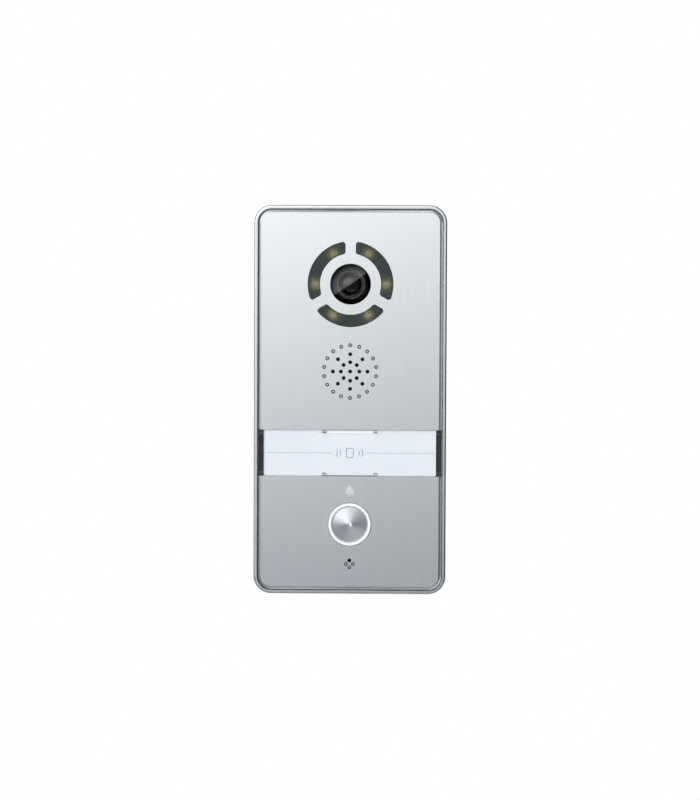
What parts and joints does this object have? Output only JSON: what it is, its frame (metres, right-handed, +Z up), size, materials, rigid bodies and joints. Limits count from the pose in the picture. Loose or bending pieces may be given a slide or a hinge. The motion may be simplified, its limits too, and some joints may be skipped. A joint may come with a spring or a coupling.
{
  "type": "video door station",
  "caption": "Surface-mounted video door station: camera with lamp ring, speaker, lit name panel with card reader, call button and microphone in an aluminium frame",
  "frame": {"origin": "middle of the wall plate's four screw holes, on the wall plane (Y = 0)", "axes": "+Z up along the station's length, +X to the right as the visitor sees it, -Y out of the wall towards the visitor, so +Y points into the wall"},
  "size_m": [0.099, 0.0336, 0.2],
  "materials": {
    "satin_aluminium": "die-cast aluminium, fine blasted and satin anodised",
    "brushed_metal": "stainless steel with fine vertical brushing",
    "turned_aluminium": "turned aluminium with a concentric finish, clear anodised",
    "black_abs": "black moulded ABS",
    "black_acetal": "black acetal",
    "black_anodised": "black anodised aluminium",
    "clear_polycarbonate": "clear polycarbonate",
    "smoked_polycarbonate": "smoked polycarbonate",
    "lens_glass": "coated optical glass",
    "white_card": "printed translucent card",
    "white_acrylic": "white light-spreading acrylic",
    "board_laminate": "glass-epoxy laminate with green solder mask",
    "chip_epoxy": "moulded epoxy",
    "sensor_die": "image sensor under cover glass",
    "phosphor": "diode with yellow phosphor",
    "tinned_steel": "tinned sheet steel",
    "copper_track": "copper track under solder mask",
    "silicone_rubber": "black silicone rubber",
    "spring_steel": "drawn stainless spring wire",
    "zinc_steel": "zinc-plated pressed steel",
    "screw_steel": "stainless screw, turned and slotted",
    "cover_abs": "dark grey moulded ABS with a fine texture",
    "woven_mesh": "black woven wire mesh",
    "cone_film": "moulded film",
    "ferrite": "sintered ferrite",
    "can_sleeve": "dark film sleeve over aluminium",
    "relay_case": "blue moulded case",
    "terminal_plastic": "green moulded polyamide"
  },
  "bodies": {
    "root": {"front_frame": "satin_aluminium", "front_carrier": "black_abs", "upper_face_plate": "brushed_metal", "lower_face_plate": "brushed_metal", "camera_window": "clear_polycarbonate", "camera_window_seal": "silicone_rubber", "camera_light_window": "smoked_polycarbonate", "camera_light_board": "board_laminate", "camera_lights": "phosphor", "light_sensors": "sensor_die", "lens_barrel": "black_anodised", "front_lens": "lens_glass", "rear_lens": "lens_glass", "iris": "black_anodised", "lens_holder": "black_abs", "image_sensor": "sensor_die", "camera_board": "board_laminate", "camera_screws": "screw_steel", "lamp_board_screws": "screw_steel", "speaker_mesh": "woven_mesh", "speaker_seal": "silicone_rubber", "speaker_basket": "zinc_steel", "speaker_cone": "cone_film", "speaker_magnet": "ferrite", "name_card": "white_card", "light_guide": "white_acrylic", "reader_board": "board_laminate", "reader_coil": "copper_track", "backlights": "phosphor", "button_light_ring": "white_acrylic", "button_seal": "silicone_rubber", "button_guide": "black_acetal", "button_spring": "spring_steel", "push_switch": "black_abs", "ring_lights": "phosphor", "microphone_boot": "silicone_rubber", "microphone_capsule": "tinned_steel", "main_board": "board_laminate", "processor_shield": "tinned_steel", "circuit_chips": "chip_epoxy", "capacitors": "can_sleeve", "door_relay": "relay_case", "power_transformer": "ferrite", "terminal_block": "terminal_plastic", "terminal_screws": "screw_steel", "network_socket": "tinned_steel", "tamper_switch": "black_abs", "tamper_spring": "spring_steel", "board_screws": "screw_steel", "carrier_screws": "screw_steel", "rear_cover": "cover_abs", "rear_seal": "silicone_rubber", "cover_screws": "screw_steel", "wall_plate": "zinc_steel", "lock_screw": "screw_steel"},
    "call_button": {"button_cap": "turned_aluminium"},
    "switch_actuator": {"switch_plunger": "black_acetal"},
    "removable_panel": {"name_panel": "clear_polycarbonate"},
    "tamper_actuator": {"tamper_pin": "black_acetal"}
  },
  "joints": [
    {"name": "call_press", "type": "slide", "parent": "root", "child": "call_button", "axis": [0, 1, 0], "range_m": [0, 0.0015], "stiffness_N_per_m": 600, "springref_m": -0.002, "deforming": ["button_spring"]},
    {"name": "switch_press", "type": "slide", "parent": "root", "child": "switch_actuator", "axis": [0, 1, 0], "range_m": [0, 0.0015]},
    {"name": "panel_pull", "type": "slide", "parent": "root", "child": "removable_panel", "axis": [0, -1, 0], "range_m": [0, 0.01]},
    {"name": "tamper_release", "type": "slide", "parent": "root", "child": "tamper_actuator", "axis": [0, 1, 0], "range_m": [0, 0.002], "stiffness_N_per_m": 150, "springref_m": 0.006, "deforming": ["tamper_spring"]}
  ],
  "couplings": [
    {"joint": "switch_press", "follows": "call_press", "ratio": 1}
  ]
}
